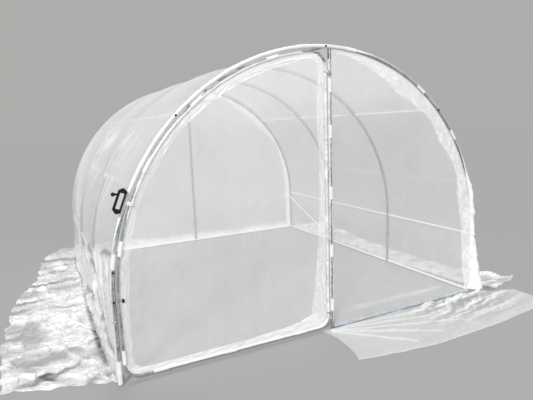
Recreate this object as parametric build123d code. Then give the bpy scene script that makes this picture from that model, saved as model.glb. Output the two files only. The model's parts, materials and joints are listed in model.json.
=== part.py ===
from build123d import *
import math
import os

# A walk-in tunnel greenhouse: four bent steel hoops, long rails, a clear film skin and a half-arch door.
# The origin is on the ground, in the middle of the frame's footprint.
# X runs across the tunnel, -Y is the end with the door, and Z is up.

# Overall frame, millimetres
span = 2975.0
leg_height = 530.0
tunnel_length = 3180.0
hoop_count = 4

# Round steel tube, as outside diameters
hoop_tube = 25.0
base_tube = 25.0
post_tube = 25.0
purlin_tube = 19.0
brace_tube = 16.0
door_tube = 22.0

# Heights and angles of the long rails, with the waist rail just under the top of the legs
shoulder_angle = 45.0
crown_angle = 90.0
waist_drop = 8.0
brace_foot_height = 50.0
brace_head_height = 480.0
brace_overrun = 9.0

# Film and how near it lies to what carries it
film = 2.0
seat = 0.3
cover_front_setback = 5.0

# Film that lies on the ground past the frame
skirt_film = 3.0
side_skirt = 655.0
back_skirt = 575.0
apron_depth = 560.0

# The free edges of that film: along a side as a share of its length, then out as a share of the size above.
# Lengths run from the door end to the back, and from the middle to the right-hand leg.
left_skirt_shares = ((0.08, 0.95), (0.31, 1.0), (0.46, 0.975), (0.64, 0.89), (0.77, 0.70), (1.0, 0.585))
right_skirt_shares = ((-0.037, 0.3), (-0.022, 0.76), (0.06, 0.83), (0.16, 0.53), (0.44, 0.52),
                      (0.84, 0.66), (1.0, 0.94))
back_skirt_shares = ((-1.2, 0.48), (-1.1, 1.0), (-0.87, 0.81), (-0.6, 0.99), (-0.35, 0.73), (0.1, 0.61),
                     (0.39, 0.35), (0.7, 0.32), (1.0, 0.37))
apron_shares = ((-0.05, 0.46), (-0.085, 0.83), (0.12, 0.93), (0.34, 1.0), (0.77, 0.975), (1.07, 0.9),
                (1.23, 0.66), (1.23, 0.25), (1.0, 0.25))

# Door
post_offset = 35.0
door_hoop_gap = 10.0
door_post_gap = 13.5
door_ground_gap = 25.0
door_foot_radius = 80.0
door_head_radius = 100.0

# White clips that hold the film on the tube
clip_length = 90.0
clip_wall = 2.2
clip_bore_room = 0.8
clip_mouth = 80.0
hoop_clip_angles = (35.0, 54.5, 82.0, 97.0, 118.0, 141.0, 171.0)
hoop_leg_clip_height = 110.0
door_arch_clip_angles = (106.0, 129.0, 148.0, 168.0)
door_leg_clip_rise = 54.0

# Clips on straight runs, as shares of the run: up the post between the hinges, and from the left along a foot
clip_hinge_gap = 5.0
post_clip_shares = (0.0, 0.257, 0.521, 0.791, 0.986)
door_foot_clip_shares = (0.1, 0.46, 0.88)
rail_clip_shares = (0.1, 0.42, 0.795)

# Door hinges, whose places start where the stile's rounded corners end
lower_hinge_rise = 12.0
upper_hinge_drop = 39.0
hinge_stand_off = 22.0
hinge_band_height = 24.0
hinge_band_wall = 2.5
hinge_barrel_radius = 6.0
hinge_barrel_gap = 0.5
hinge_pin_radius = 3.0
hinge_pin_room = 0.15
hinge_arm = 4.0

# Door handle on its strap
handle_angle = 157.5
handle_length = 156.0
handle_reach = 48.0
handle_grip = 13.0
handle_back = 9.0
handle_foot = 31.0
handle_depth = 15.0
handle_foot_depth = 21.0
handle_grip_slope = 20.0
handle_back_slope = 14.0
handle_peak_radius = 9.0
handle_edge_radius = 2.5
handle_eye_radius = 4.0
handle_hoop_gap = 2.0
knob_rise = 34.0
knob_droop = 20.0
knob_radius = 12.0
knob_stem_radius = 6.0
knob_stem_length = 16.0
knob_bite = 2.0
stem_bite = 3.0
strap_width = 22.0
strap_thickness = 2.5
strap_hoop_room = 6.0
strap_plate_margin = 4.0
strap_block_width = 13.0
strap_block_bite = 3.3

# Bolts through the hoops
bolt_head_radius = 7.5
bolt_head_height = 4.0

# Sizes that follow from those above
hoop_radius = span / 2
hoop_r = hoop_tube / 2
base_r = base_tube / 2
post_r = post_tube / 2
purlin_r = purlin_tube / 2
brace_r = brace_tube / 2
door_r = door_tube / 2
outer_radius = hoop_radius + hoop_r
inner_radius = hoop_radius - hoop_r
front_y = -tunnel_length / 2
back_y = tunnel_length / 2
bay = tunnel_length / (hoop_count - 1)
hoop_places = [front_y + bay * i for i in range(hoop_count)]
door_radius = inner_radius - door_hoop_gap - door_r
door_bottom = door_ground_gap + door_r
door_stile = post_offset - post_r - door_post_gap - door_r
clip_back = clip_bore_room + clip_wall
base_height = base_r + clip_back + seat
waist_height = leg_height - waist_drop
skin_inner = outer_radius + seat
skin_outer = skin_inner + film
cover_front = front_y + hoop_r + cover_front_setback
cover_back = back_y + hoop_r + seat + film
skirt_edge = skin_outer + seat

UP = Axis((0, 0, 0), (0, -1, 0))


def rod(radius, start, end):
    """A round tube, taken as solid, between two points."""
    start, end = Vector(*start), Vector(*end)
    run = Plane(origin=start, z_dir=end - start)
    return extrude(run * Circle(radius), (end - start).length)


def bend(profile, start, turn):
    """A section drawn about the tube's centre, carried round the arch from one angle."""
    return Pos(0, 0, leg_height) * (Rot(0, -start, 0) * revolve(profile, UP, turn))


def at_arch(radius, angle):
    """The place on an arch of this radius, at an angle up from the right-hand spring line."""
    turn = math.radians(angle)
    return radius * math.cos(turn), leg_height + radius * math.sin(turn)


def hoop_reach(height):
    """How far out a hoop's centre line is at a height, on the leg or on the arch above it."""
    rise = max(0, height - leg_height)
    return math.sqrt(hoop_radius**2 - rise**2)


def arch_face(radius, bottom, left, right):
    """The upright area under an arch, from a height up and between two upright lines."""
    foot = Polyline((-radius, leg_height), (-radius, 0), (radius, 0), (radius, leg_height))
    crown = ThreePointArc((radius, leg_height), (0, leg_height + radius), (-radius, leg_height))
    top = leg_height + radius
    window = Pos((left + right) / 2, (bottom + top) / 2) * Rectangle(right - left, top - bottom)
    return make_face([*foot.edges(), *crown.edges()]) & window


def upright_sheet(face, y, thickness):
    """A flat sheet in an upright plane, with its middle at y."""
    return Pos(0, y, 0) * extrude(Plane.XZ * face, thickness / 2, both=True)


def shell_profile(inner, thickness, front, back):
    """The section of the skin across its thickness, flat on the floor plane."""
    return Pos(inner + thickness / 2, (front + back) / 2) * Rectangle(thickness, back - front)


def clip_face(tube_radius, mouth_direction):
    """The C of a clip, open towards the film that it holds."""
    bore = tube_radius + clip_bore_room
    back = tube_radius + clip_back
    reach = back * 2
    half = math.radians(clip_mouth / 2)
    corner = (reach * math.cos(half), reach * math.sin(half))
    mouth = make_face(Polyline((0, 0), corner, (corner[0], -corner[1]), close=True))
    return Circle(back) - Circle(bore) - Rot(0, 0, mouth_direction) * mouth


def bent_clip(radius, tube_radius, angle, y):
    """A clip that follows the bend of the arch."""
    turn = math.degrees(clip_length / radius)
    face = Pos(radius, y) * clip_face(tube_radius, 180)
    return bend(face, angle - turn / 2, turn)


def straight_clip(tube_radius, middle, x_dir, along, mouth_direction):
    """A clip on a straight tube, with its middle at a point."""
    place = Plane(origin=middle, x_dir=x_dir, z_dir=along)
    return extrude(place * clip_face(tube_radius, mouth_direction), clip_length / 2, both=True)


def part_way(start, end, share):
    """The place that lies a share of the way from start to end."""
    return start + share * (end - start)


def hoop(y):
    """One pipe bent to a half circle on two straight legs."""
    arch = bend(Pos(hoop_radius, y) * Circle(hoop_r), 0, 180)
    for side in (-1, 1):
        arch += rod(hoop_r, (side * hoop_radius, y, 0), (side * hoop_radius, y, leg_height))
    return arch


def between_hoops(radius, x, z):
    """One length of tube in each bay, butted against the hoops."""
    runs = []
    for y in hoop_places[:-1]:
        start = y + hoop_r + seat
        end = y + bay - hoop_r - seat
        runs.append(rod(radius, (x, start, z), (x, end, z)))
    return runs


def brace(side):
    """The slanting tube inside the back bay's legs, just past each leg's middle."""
    inset = hoop_r + seat + brace_r
    foot_x = side * (hoop_reach(brace_foot_height) - inset)
    head_x = side * (hoop_reach(brace_head_height) - inset)
    foot = (foot_x, back_y - bay - brace_overrun, brace_foot_height)
    head = (head_x, back_y + brace_overrun, brace_head_height)
    return rod(brace_r, foot, head)


def film_wall(side):
    """The film over the straight legs."""
    sheet = Box(film, cover_back - cover_front, leg_height - seat - skirt_film)
    x = side * (skin_inner + film / 2)
    z = (leg_height + skirt_film) / 2
    return Pos(x, (cover_front + cover_back) / 2, z) * sheet


def film_arch(start, end):
    """The film over the hoops between two angles, with a hair's width at each seam."""
    hair = math.degrees(seat / 2 / skin_inner)
    section = shell_profile(skin_inner, film, cover_front, cover_back)
    return bend(section, start + hair, end - start - 2 * hair)


def skirt(outline):
    """Film that lies on the ground inside an outline of x, y corners."""
    return extrude(make_face(Polyline(*outline, close=True)), skirt_film)


def side_skirt_sheet(side, free_edge):
    """The wide strip along a wall."""
    inner = side * skirt_edge
    start = min(cover_front, front_y + free_edge[0][0] * tunnel_length)
    outer = [(side * (skirt_edge + out * side_skirt), front_y + along * tunnel_length)
             for along, out in free_edge[:-1]]
    corner = (side * (skirt_edge + free_edge[-1][1] * side_skirt), cover_back)
    return skirt([(inner, start), *outer, corner, (inner, cover_back)])


def back_skirt_sheet():
    """The strip behind the back film, widest at its left corner."""
    inner = cover_back + seat
    outer = [(along * skirt_edge, inner + out * back_skirt) for along, out in back_skirt_shares]
    left = -skirt_edge - left_skirt_shares[-1][1] * side_skirt
    return skirt([(left, inner), *outer, (skirt_edge, inner)])


def apron_sheet():
    """The sheet on the ground in front of the fixed half."""
    inner = front_y - base_r - seat
    width = outer_radius - post_offset
    outer = [(post_offset + along * width, inner - out * apron_depth) for along, out in apron_shares]
    return skirt([(post_offset - post_r, inner), *outer, (outer_radius, inner)])


def door_outline():
    """The centre line of the door's bent tube, as the edge of a face."""
    face = arch_face(door_radius, door_bottom, -door_radius, door_stile)
    low = face.vertices().sort_by(Axis.Y)[:2]
    face = fillet(low, door_foot_radius)
    head = face.vertices().sort_by(Axis.Y)[-1]
    return fillet(head, door_head_radius)


def door_frame_tube(outline):
    """The door's closed ring of tube."""
    path = (Plane.XZ * outline).face().outer_wire().moved(Location((0, front_y, 0)))
    section = Plane(origin=path @ 0, z_dir=path % 0) * Circle(door_r)
    return sweep(section, path)


def hinge_x():
    """The hinge line's place, halfway between the door's stile and the post."""
    return (door_stile + door_r + post_offset - post_r) / 2


def hinge_band(tube_x, tube_radius, z, mouth_direction, level):
    """A band round a tube with an arm out to its barrel on the hinge line."""
    pin_x, pin_y = hinge_x(), front_y - hinge_stand_off
    bore = tube_radius + seat
    ring = Pos(tube_x, front_y) * (Circle(bore + hinge_band_wall) - Circle(bore))
    mouth = Pos(tube_x, front_y) * (Rot(0, 0, mouth_direction) * Pos(tube_radius, 0)
                                    * Rectangle(tube_radius * 2, tube_radius))
    arm_start = Vector(tube_x, front_y - bore - hinge_band_wall / 2)
    arm_end = Vector(pin_x, pin_y)
    arm = Plane(origin=(arm_start + arm_end) / 2, x_dir=arm_end - arm_start)
    arm_face = arm * Rectangle((arm_end - arm_start).length, hinge_arm)
    barrel = Pos(pin_x, pin_y) * Circle(hinge_barrel_radius)
    face = ring - mouth + arm_face + barrel - Pos(tube_x, front_y) * Circle(bore)
    half = (hinge_band_height - hinge_barrel_gap) / 2
    low = z + (hinge_barrel_gap / 2 if level > 0 else -hinge_barrel_gap / 2 - half)
    return Pos(0, 0, low) * extrude(face, half)


def hinge_post_half(z):
    """The post's band and its upright pin."""
    body = hinge_band(post_offset, post_r, z, 0, -1)
    pin = rod(hinge_pin_radius, (hinge_x(), front_y - hinge_stand_off, z - 1),
              (hinge_x(), front_y - hinge_stand_off, z + hinge_band_height / 2))
    return body + pin


def hinge_door_half(z):
    """The door's band, whose barrel turns on the pin."""
    body = hinge_band(door_stile, door_r, z, 180, 1)
    bore = rod(hinge_pin_radius + hinge_pin_room,
               (hinge_x(), front_y - hinge_stand_off, z),
               (hinge_x(), front_y - hinge_stand_off, z + hinge_band_height))
    return body - bore


def handle_plane():
    """A frame on the arch at the handle: x outwards, y down the tube, z towards the visitor."""
    turn = math.radians(handle_angle)
    x, z = at_arch(outer_radius, handle_angle)
    return Plane(origin=(x, front_y, z), x_dir=(math.cos(turn), 0, math.sin(turn)), z_dir=(0, -1, 0))


def handle_outline():
    """The handle seen from the front, filled in: its feet peak between the grip and the back bar."""
    half = handle_length / 2
    peak = handle_reach / 2
    corners = [(0, handle_back_slope - half), (peak, -half), (handle_reach, handle_grip_slope - half),
               (handle_reach, half - handle_grip_slope), (peak, half), (0, half - handle_back_slope)]
    face = make_face(Polyline(*corners, close=True))
    peaks = [corner for corner in face.vertices() if abs(corner.X - peak) < seat]
    return fillet(peaks, handle_peak_radius)


def handle_opening():
    """The space for the fingers between the grip, the back bar and the feet."""
    width = handle_reach - handle_grip - handle_back
    height = handle_length - 2 * handle_foot
    return Pos(handle_back + width / 2, 0) * RectangleRounded(width, height, handle_eye_radius)


def handle_height():
    """How far the handle's back stands in front of the hoop's plane."""
    return hoop_r + strap_hoop_room + strap_thickness


def door_handle():
    """The black pull and its side knob on a stem."""
    back = handle_height() + seat
    bars = extrude(handle_outline() - handle_opening(), handle_depth)
    middle = Rectangle(2 * handle_reach, handle_length - 2 * handle_foot)
    feet = extrude(handle_outline() - middle, handle_foot_depth)
    feet = fillet(feet.faces().filter_by(Axis.Z).group_by(Axis.Z)[-1].edges(), handle_edge_radius)
    grip = Pos(handle_hoop_gap, 0, back) * (bars + feet)
    stem_z = back + handle_depth / 2
    turn = math.radians(knob_droop)
    start = handle_hoop_gap + handle_reach - stem_bite
    end = start + knob_stem_length * math.cos(turn)
    end_y = knob_stem_length * math.sin(turn) - knob_rise
    stem = rod(knob_stem_radius, (start, -knob_rise, stem_z), (end, end_y, stem_z))
    out = knob_radius - knob_bite
    ball = Pos(end + out * math.cos(turn), end_y + out * math.sin(turn), stem_z) * Sphere(knob_radius)
    return handle_plane() * (grip + stem + ball)


def handle_strap():
    """The flat strap from the door's tube, across the front of the hoop, to the handle."""
    back = handle_height() - strap_thickness
    reach_in = outer_radius - door_radius
    grip_middle = handle_hoop_gap + handle_back / 2
    plate_face = Rectangle(handle_back, handle_length - 2 * (handle_back_slope + strap_plate_margin))
    plate = Pos(grip_middle, 0, back) * extrude(plate_face, strap_thickness)
    bridge_face = Rectangle(reach_in + grip_middle, strap_width)
    bridge = Pos((grip_middle - reach_in) / 2, 0, back) * extrude(bridge_face, strap_thickness)
    block_face = Rectangle(strap_block_width, strap_width)
    block = Pos(-reach_in, 0, strap_block_bite) * extrude(block_face, back - strap_block_bite)
    tube = Pos(-reach_in, 0, 0) * Rot(90, 0, 0) * Cylinder(door_r + seat, handle_length)
    return handle_plane() * (plate + bridge + block - tube)


def bolt_heads():
    """A domed head on the front hoop at the end of each long rail."""
    heads = []
    places = [at_arch(hoop_radius, a) for a in (shoulder_angle, crown_angle, 180 - shoulder_angle)]
    places += [(side * hoop_reach(waist_height), waist_height) for side in (-1, 1)]
    for x, z in places:
        base = front_y - hoop_r - seat
        head = extrude(Plane(origin=(x, base, z), z_dir=(0, -1, 0)) * Circle(bolt_head_radius),
                       bolt_head_height)
        heads.append(fillet(head.faces().sort_by(Axis.Y)[0].edges(), bolt_head_height * 0.6))
    return heads


def build():
    """Every node of the greenhouse, by name."""
    nodes = {}
    for name, y in zip(("front_hoop", "second_hoop", "third_hoop", "back_hoop"), hoop_places):
        nodes[name] = hoop(y)

    crown = leg_height + hoop_radius
    nodes["ridge_purlin"] = between_hoops(purlin_r, 0, crown)
    for side, word in ((-1, "left"), (1, "right")):
        angle = shoulder_angle if side > 0 else 180 - shoulder_angle
        x, z = at_arch(hoop_radius, angle)
        nodes[f"{word}_shoulder_purlin"] = between_hoops(purlin_r, x, z)
        nodes[f"{word}_waist_rail"] = between_hoops(purlin_r, side * hoop_reach(waist_height),
                                                    waist_height)
        nodes[f"{word}_base_rail"] = between_hoops(base_r, side * hoop_radius, base_height)
        nodes[f"{word}_brace"] = brace(side)

    post_top = leg_height + math.sqrt(inner_radius**2 - (post_offset + post_r)**2) - seat
    nodes["front_post"] = rod(post_r, (post_offset, front_y, 0), (post_offset, front_y, post_top))
    nodes["front_base_rail"] = rod(base_r, (post_offset + post_r + seat, front_y, base_height),
                                   (inner_radius - seat, front_y, base_height))
    nodes["back_base_rail"] = rod(base_r, (-inner_radius + seat, back_y, base_height),
                                  (inner_radius - seat, back_y, base_height))
    rail_top = base_height + base_r + seat
    nodes["back_post"] = rod(post_r, (0, back_y, rail_top),
                             (0, back_y, leg_height + inner_radius - seat))

    nodes["cover_right_wall"] = film_wall(1)
    nodes["cover_right_shoulder"] = film_arch(0, shoulder_angle)
    nodes["cover_right_roof"] = film_arch(shoulder_angle, 90)
    nodes["cover_left_roof"] = film_arch(90, 180 - shoulder_angle)
    nodes["cover_left_shoulder"] = film_arch(180 - shoulder_angle, 180)
    nodes["cover_left_wall"] = film_wall(-1)
    back_face = arch_face(outer_radius, skirt_film, -outer_radius, outer_radius)
    nodes["back_film"] = upright_sheet(back_face, back_y + hoop_r + seat + film / 2, film)
    front_face = arch_face(inner_radius - seat, rail_top, post_offset + post_r + seat,
                           inner_radius - seat)
    nodes["front_film"] = upright_sheet(front_face, front_y, film)
    nodes["left_ground_skirt"] = side_skirt_sheet(-1, left_skirt_shares)
    nodes["right_ground_skirt"] = side_skirt_sheet(1, right_skirt_shares)
    nodes["back_ground_skirt"] = back_skirt_sheet()
    nodes["front_apron"] = apron_sheet()

    outline = door_outline()
    nodes["door_frame"] = door_frame_tube(outline)
    door_panel = offset(outline, -door_r - seat)
    nodes["door_film"] = upright_sheet(door_panel, front_y, film)

    nodes["hoop_clips"] = [bent_clip(hoop_radius, hoop_r, a, front_y) for a in hoop_clip_angles]
    for side in (-1, 1):
        middle = (side * hoop_radius, front_y, hoop_leg_clip_height)
        nodes["hoop_clips"].append(straight_clip(hoop_r, middle, (-side, 0, 0), (0, 0, 1), 0))
    foot_corner = door_bottom + door_foot_radius
    door_top = leg_height + math.sqrt(door_radius**2 - door_stile**2)
    hinge_heights = (foot_corner + lower_hinge_rise, door_top - door_head_radius - upper_hinge_drop)
    hinge_room = hinge_band_height / 2 + clip_hinge_gap + clip_length / 2
    nodes["post_clips"] = []
    for share in post_clip_shares:
        z = part_way(hinge_heights[0] + hinge_room, hinge_heights[1] - hinge_room, share)
        nodes["post_clips"].append(straight_clip(post_r, (post_offset, front_y, z), (1, 0, 0), (0, 0, 1), 0))
    nodes["rail_clips"] = [
        straight_clip(base_r, (part_way(post_offset, inner_radius, share), front_y, base_height),
                      (0, 0, 1), (1, 0, 0), 0)
        for share in rail_clip_shares
    ]
    nodes["door_clips"] = [bent_clip(door_radius, door_r, a, front_y) for a in door_arch_clip_angles]
    nodes["door_clips"].append(
        straight_clip(door_r, (-door_radius, front_y, foot_corner + door_leg_clip_rise),
                      (1, 0, 0), (0, 0, 1), 0))
    foot_left = -door_radius + door_foot_radius
    foot_right = door_stile - door_foot_radius
    for share in door_foot_clip_shares:
        middle = (part_way(foot_left, foot_right, share), front_y, door_bottom)
        nodes["door_clips"].append(straight_clip(door_r, middle, (0, 0, 1), (1, 0, 0), 0))

    for word, z in zip(("lower", "upper"), hinge_heights):
        nodes[f"{word}_hinge_pin"] = hinge_post_half(z)
        nodes[f"{word}_hinge_eye"] = hinge_door_half(z)
    nodes["door_handle"] = door_handle()
    nodes["handle_strap"] = handle_strap()
    nodes["frame_bolts"] = bolt_heads()
    return nodes


def write(nodes):
    """One STEP file for each node."""
    os.makedirs("parts", exist_ok=True)
    for name, shape in nodes.items():
        solids = []
        for piece in shape if isinstance(shape, list) else [shape]:
            solids += piece.solids()
        whole = solids[0] if len(solids) == 1 else Compound(solids)
        whole.label = name
        export_step(whole, f"parts/{name}.step")


write(build())
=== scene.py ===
import json
import math

import bpy
import numpy as np
from mathutils import Matrix, Vector


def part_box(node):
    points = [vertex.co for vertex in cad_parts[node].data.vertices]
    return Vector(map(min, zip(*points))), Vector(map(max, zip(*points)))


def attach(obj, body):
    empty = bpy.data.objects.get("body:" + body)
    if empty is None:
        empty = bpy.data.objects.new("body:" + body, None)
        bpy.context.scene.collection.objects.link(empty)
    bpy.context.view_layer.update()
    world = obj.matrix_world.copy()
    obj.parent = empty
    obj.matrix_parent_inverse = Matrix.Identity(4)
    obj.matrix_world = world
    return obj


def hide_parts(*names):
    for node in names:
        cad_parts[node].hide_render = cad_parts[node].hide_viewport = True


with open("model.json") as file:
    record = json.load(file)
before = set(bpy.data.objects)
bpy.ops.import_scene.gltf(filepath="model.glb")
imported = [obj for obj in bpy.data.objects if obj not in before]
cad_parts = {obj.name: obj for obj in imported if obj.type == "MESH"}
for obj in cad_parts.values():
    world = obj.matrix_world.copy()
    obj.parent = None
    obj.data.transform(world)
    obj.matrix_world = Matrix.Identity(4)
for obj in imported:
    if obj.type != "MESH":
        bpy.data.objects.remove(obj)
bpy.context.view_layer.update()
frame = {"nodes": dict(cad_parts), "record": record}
scene = bpy.context.scene


def halfway(name, axis):
    """The middle of a solid's box along one axis."""
    low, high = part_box(name)
    return (low[axis] + high[axis]) / 2


# Sizes read from the frame, in metres
hoop_low, hoop_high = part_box("front_hoop")
door_low, door_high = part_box("door_frame")
TUBE = (hoop_high.y - hoop_low.y) / 2
OUTER = hoop_high.x
HOOP = OUTER - TUBE
INNER = OUTER - 2 * TUBE
LEG = hoop_high.z - OUTER
HOOP_LENGTH = 2 * LEG + math.pi * HOOP
FRONT = halfway("front_hoop", 1)
BACK = halfway("back_hoop", 1)
BAY = halfway("second_hoop", 1) - FRONT
POST = halfway("front_post", 0)
POST_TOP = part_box("front_post")[1].z
RAIL_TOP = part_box("front_base_rail")[1].z
WAIST_ANGLE = 180 - math.degrees(math.asin((halfway("left_waist_rail", 2) - LEG) / HOOP))
DOOR_TUBE = (door_high.y - door_low.y) / 2
DOOR = -door_low.x - DOOR_TUBE
DOOR_FOOT = door_low.z + DOOR_TUBE
STILE = door_high.x - DOOR_TUBE
FOOT_BEND = 0.08
HEAD_BEND = 0.1

# The film and how it hangs
FILM_GAP = 0.0013
WRAP_GAP = 0.0005
GROUND_GAP = 0.003
SKIN = OUTER + FILM_GAP
WALL_FOOT = 0.012
SAG = 0.03
STEP = 0.016
RIGHT_FLARE = 0.105
JUST_INSIDE = 0.99999
# How much too large the left ground sheet is, and the steps in which it settles
SLACK = 0.1
SETTLE_STEPS = 24

# How the film takes light, the colour of clean film, and the dark colour of the shade painted in its folds
# and at its edges, which a little real dust also takes
LIGHT_BLOCKED = 0.25
FILM_ROUGHNESS = 0.18
FILM_GLOW = 0.19
FILM_TINT = (0.965, 0.972, 0.968)
SHADE_AND_DUST = (0.13, 0.12, 0.105)

# The studio: colours with alpha, and lamps as name, bearing, height, spread and strength
FLOOR_COLOUR = (0.408, 0.402, 0.393, 1)
BACKDROP_COLOUR = (0.425, 0.419, 0.409, 1)
SKY_COLOUR = (0.93, 0.97, 1, 1)
SKY_STRENGTH = 0.4
LAMPS = (("key", -42, 36, 12, 2.1), ("fill", -10, 18, 40, 0.9), ("top", 160, 70, 20, 0.55))

# Angles round the arch are in degrees up from the right. First the clips, and the reach of their hold
HOOP_CLIPS = (35, 54.5, 82, 97, 118, 141, 171)
CLIP_HOLD = 0.05
LOW_CLIP = 0.11

# How far round the front hoop's tube the film is turned, as angles and degrees of turn
HOOP_TURN = (
    (-25, 215), (4, 215), (12, 190), (20, 140), (30, 80), (36, 62), (74, 62), (82, 120), (95, 188),
    (152, 190), (158, 120), (164, 46), (170, 26), (197.4, 26), (198.2, 170), (205, 170))
# How milky the cover is round the arch
ROOF_MILK = (
    (-5, 0), (8, -0.06), (17, -0.03), (28, 0), (38, 0.1), (44, 0.24), (52, 0.55), (60, 0.76),
    (72, 0.88), (105, 0.9), (141, 0.88), (148, 0.54), (154, 0.38), (162, 0.22), (170, 0.1), (185, 0))
# How far the film stands off beside the right front leg, as heights and distances
SIDE_SLACK = (
    (0.2, 0), (0.3, 0.01), (0.45, 0.012), (0.62, 0.006), (0.72, 0.008), (0.83, 0.01), (0.94, 0.02),
    (1.05, 0))
# Where the two strips round the post begin, as heights and degrees round it
POST_WRAP_EDGE = ((0.95, 134), (1.1, 112))
POST_EDGE_EDGE = ((0.95, 97), (1.1, 80))
# Small turned parts, as places along their axis and radii, the joint's beyond the tube's own
KNOB = (
    (0, 0), (0, 0.004), (0.0125, 0.004), (0.013, 0.0096), (0.015, 0.0122), (0.019, 0.0132),
    (0.024, 0.0126), (0.0272, 0.01), (0.0286, 0.0056), (0.029, 0))
BOLT = ((0, 0), (0, 0.0078), (0.0135, 0.0078), (0.0165, 0.0073), (0.018, 0.0056), (0.0186, 0))
JOINT = ((0, -0.0004), (0.0012, 0.0014), (0.006, 0.0019), (0.011, 0.0014), (0.0125, -0.0004))
KNOB_HEIGHT = 0.52
BOLT_HEIGHT = 0.7
JOINT_HEIGHT = 0.395

# How far the film is turned in from the hoops, as angles and widths
FRONT_TURN_IN = (
    (-24, 0.03), (-16.5, 0.05), (-8, 0.085), (4, 0.1), (9, 0.116), (13, 0.115), (22, 0.083), (32, 0.106),
    (37, 0.116), (45.5, 0.086), (53, 0.118), (62.9, 0.123), (66.7, 0.088), (75, 0.07), (84, 0.03))
BACK_TURN_IN = (
    (-20, 0.06), (0, 0.07), (18, 0.05), (29, 0.015), (46, 0.079), (59, 0.079), (70, 0.027), (79, 0.1),
    (96, 0.05), (112, 0.09), (125, 0.04), (140, 0.08), (160, 0.05), (180, 0.08), (200, 0.05))
# How far the door's film is turned in beside the stile, as heights and widths
STILE_TURN_IN = (
    (0.05, 0.16), (0.11, 0.154), (0.19, 0.121), (0.38, 0.093), (0.65, 0.072), (0.92, 0.052), (1.3, 0.045),
    (1.6, 0.07), (1.75, 0.05), (1.98, 0.03))

# The free edges of the film on the ground, as places along it and widths
LEFT_SKIRT = (
    (-1.573, 0.03), (-1.45, 0.31), (-1.336, 0.622), (-0.604, 0.655), (-0.127, 0.639), (0.445, 0.583),
    (0.859, 0.459), (1.605, 0.383))
RIGHT_SKIRT = (
    (-1.705, 0.25), (-1.66, 0.498), (-1.4, 0.544), (-1.08, 0.347), (-0.19, 0.34), (1.08, 0.432),
    (1.605, 0.616))
BACK_SKIRT = (
    (-1.886, 0.1), (-1.803, 0.276), (-1.653, 0.575), (-1.307, 0.466), (-0.902, 0.569), (-0.526, 0.42),
    (0.15, 0.351), (0.586, 0.201), (1.052, 0.184), (1.503, 0.213))
APRON = ((-0.09, 0.465), (0.21, 0.52), (0.53, 0.56), (1.162, 0.547), (1.607, 0.505), (1.836, 0.37))
APRON_LEFT = ((0, -0.06), (0.13, -0.035), (0.26, -0.04), (0.38, -0.06), (0.465, -0.09))

# Fold lines on the apron, as places along it and out from the rail
APRON_FOLDS = (
    ((0, 0.03), (0.55, 0.34)),
    ((0, 0.05), (0.42, 0.46)),
    ((0.02, 0.02), (0.8, 0.2)),
    ((0, 0.04), (0.92, 0.36)),
    ((0, 0.06), (0.68, 0.43)),
    ((0.1, 0.02), (1.05, 0.12)))
# The line below which the left wall hangs slack, and its deep folds, as places along it and heights
LEFT_SLACK = ((-1.6, 0.8), (-1.375, 0.757), (-0.4, 0.58), (0.32, 0.424), (1.37, 0.2))
LEFT_FOLDS = (
    ((-0.34, 0.61), (-0.58, 0.545), (-0.83, 0.49), (-0.91, 0.39), (-1.06, 0.32), (-1.22, 0.285),
     (-1.37, 0.254), (-1.54, 0.19)),
    ((-0.15, 0.19), (-0.5, 0.24), (-0.8, 0.28)),
    ((-1.2, 0.745), (-1.56, 0.8)))
# The long folds of the left ground sheet, as places along it and out from the wall
GROUND_FOLDS = (
    ((-0.3, 0.45), (-0.24, 0.27), (-0.4, 0.18), (-0.7, 0.09), (-0.93, 0.02)),
    ((-1.05, 0.61), (-0.92, 0.53), (-0.87, 0.42), (-0.87, 0.29), (-1.09, 0.2), (-1.29, 0.09)),
    ((-1.2, 0.53), (-1.25, 0.36), (-1.36, 0.2), (-1.49, 0.08)),
    ((1.42, 0.62), (1.56, 0.46)))
# Patches of that sheet that lie clear, and that stand up white, with their radii
CLEAR_PATCHES = (
    (-0.55, 0.46, 0.11), (-1.03, 0.28, 0.08), (-0.63, 0.17, 0.06), (1.24, 0.25, 0.1), (0.1, 0.31, 0.12),
    (-1.09, 0.46, 0.09), (-1.25, 0.15, 0.05))
WHITE_PATCHES = ((-0.48, 0.32, 0.09), (-1.19, 0.3, 0.07), (0.81, 0.56, 0.12), (0.23, 0.18, 0.09))
# Creases from the film's packing, as angles and strengths
COVER_CREASES = ((154.5, 1), (17.5, 0.8), (33.5, 0.4), (112, 0.35), (70, 0.45))

# The camera of the photograph
EYE = Vector((-1.782, -4.248, 1.498))
YAW = math.radians(26.183)
PITCH = math.radians(9.161)
ROLL = math.radians(-1.987)
LENS = 30.675
SENSOR = 36


def unit(t):
    """A value held between 0 and 1."""
    return np.clip(t, 0, 1)


def smooth(t):
    """An S curve from 0 to 1."""
    t = unit(t)
    return t * t * (3 - 2 * t)


def hills(u, v, cell, seed):
    """Smooth random hills from -1 to 1, about one in each cell."""
    size = 97
    table = np.random.default_rng(seed).uniform(-1, 1, (size, size))
    a, b = u / cell, v / cell
    i, j = np.floor(a).astype(int), np.floor(b).astype(int)
    s, t = smooth(a - i), smooth(b - j)
    low = table[i % size, j % size] * (1 - s) + table[(i + 1) % size, j % size] * s
    high = table[i % size, (j + 1) % size] * (1 - s) + table[(i + 1) % size, (j + 1) % size] * s
    return low * (1 - t) + high * t


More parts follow.
